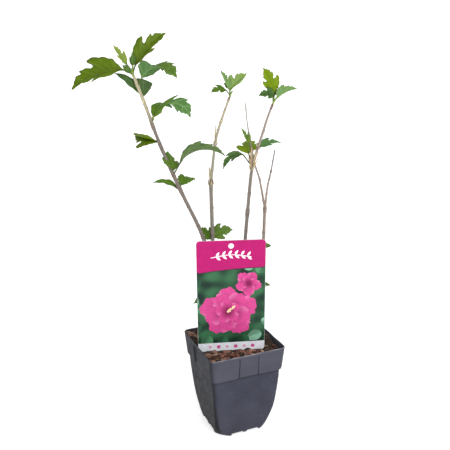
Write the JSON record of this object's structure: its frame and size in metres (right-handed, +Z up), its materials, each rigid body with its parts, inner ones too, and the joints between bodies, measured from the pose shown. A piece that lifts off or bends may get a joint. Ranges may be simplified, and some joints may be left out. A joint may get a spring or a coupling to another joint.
{
  "type": "hibiscus shrub in nursery pot",
  "caption": "Young leafy hibiscus shrub with slender bare stems and leafy tips, growing in a square plastic nursery pot with an upright picture card.",
  "frame": {"origin": "middle of the flat underside of the pot", "axes": "+Z up, X and Y along the pot's sides, the picture card faces -Y"},
  "size_m": [0.2106, 0.1031, 0.4368],
  "materials": {
    "pot": "moulded anthracite polypropylene, matte, faintly scuffed",
    "soil": "moist potting compost with reddish bark chips",
    "card": null,
    "stake": "white moulded plastic",
    "bark": "young grey-brown bark, matte, with fine ridges and leaf scars",
    "shoot": "green-beige to reddish young wood, smooth and matte",
    "foliage": "fresh green leaves, satin above and bluish matte below"
  },
  "bodies": {
    "root": {"pot": "pot", "potting_soil": "soil", "label_card": "card", "label_stake": "stake", "trunk": "bark", "stem_left": "bark", "stem_middle": "bark", "stem_right": "bark", "stem_back": "bark", "branch_middle": "shoot", "branch_right": "shoot", "twig_back_left": "shoot", "twig_back_right": "shoot", "crown_left": "foliage", "crown_middle": "foliage", "crown_right": "foliage", "leaf_crown_right": "foliage", "leaf_crown_back": "foliage", "leaf_crown_low": "foliage", "leaf_upper": "foliage", "leaf_left_side": "foliage", "leaf_front_small": "foliage", "leaf_arching": "foliage", "leaf_low_right": "foliage", "leaf_low_left": "foliage", "leaf_over_card": "foliage", "leaf_over_card_left": "foliage", "leaf_knob_back": "foliage", "leaf_knob_upright": "foliage", "leaf_knob_left": "foliage", "leaf_right_side": "foliage", "leaf_foot_right_high": "foliage", "leaf_foot_right": "foliage", "leaf_foot_right_low": "foliage", "leaf_foot_left": "foliage", "leaf_foot_back": "foliage"}
  },
  "joints": []
}
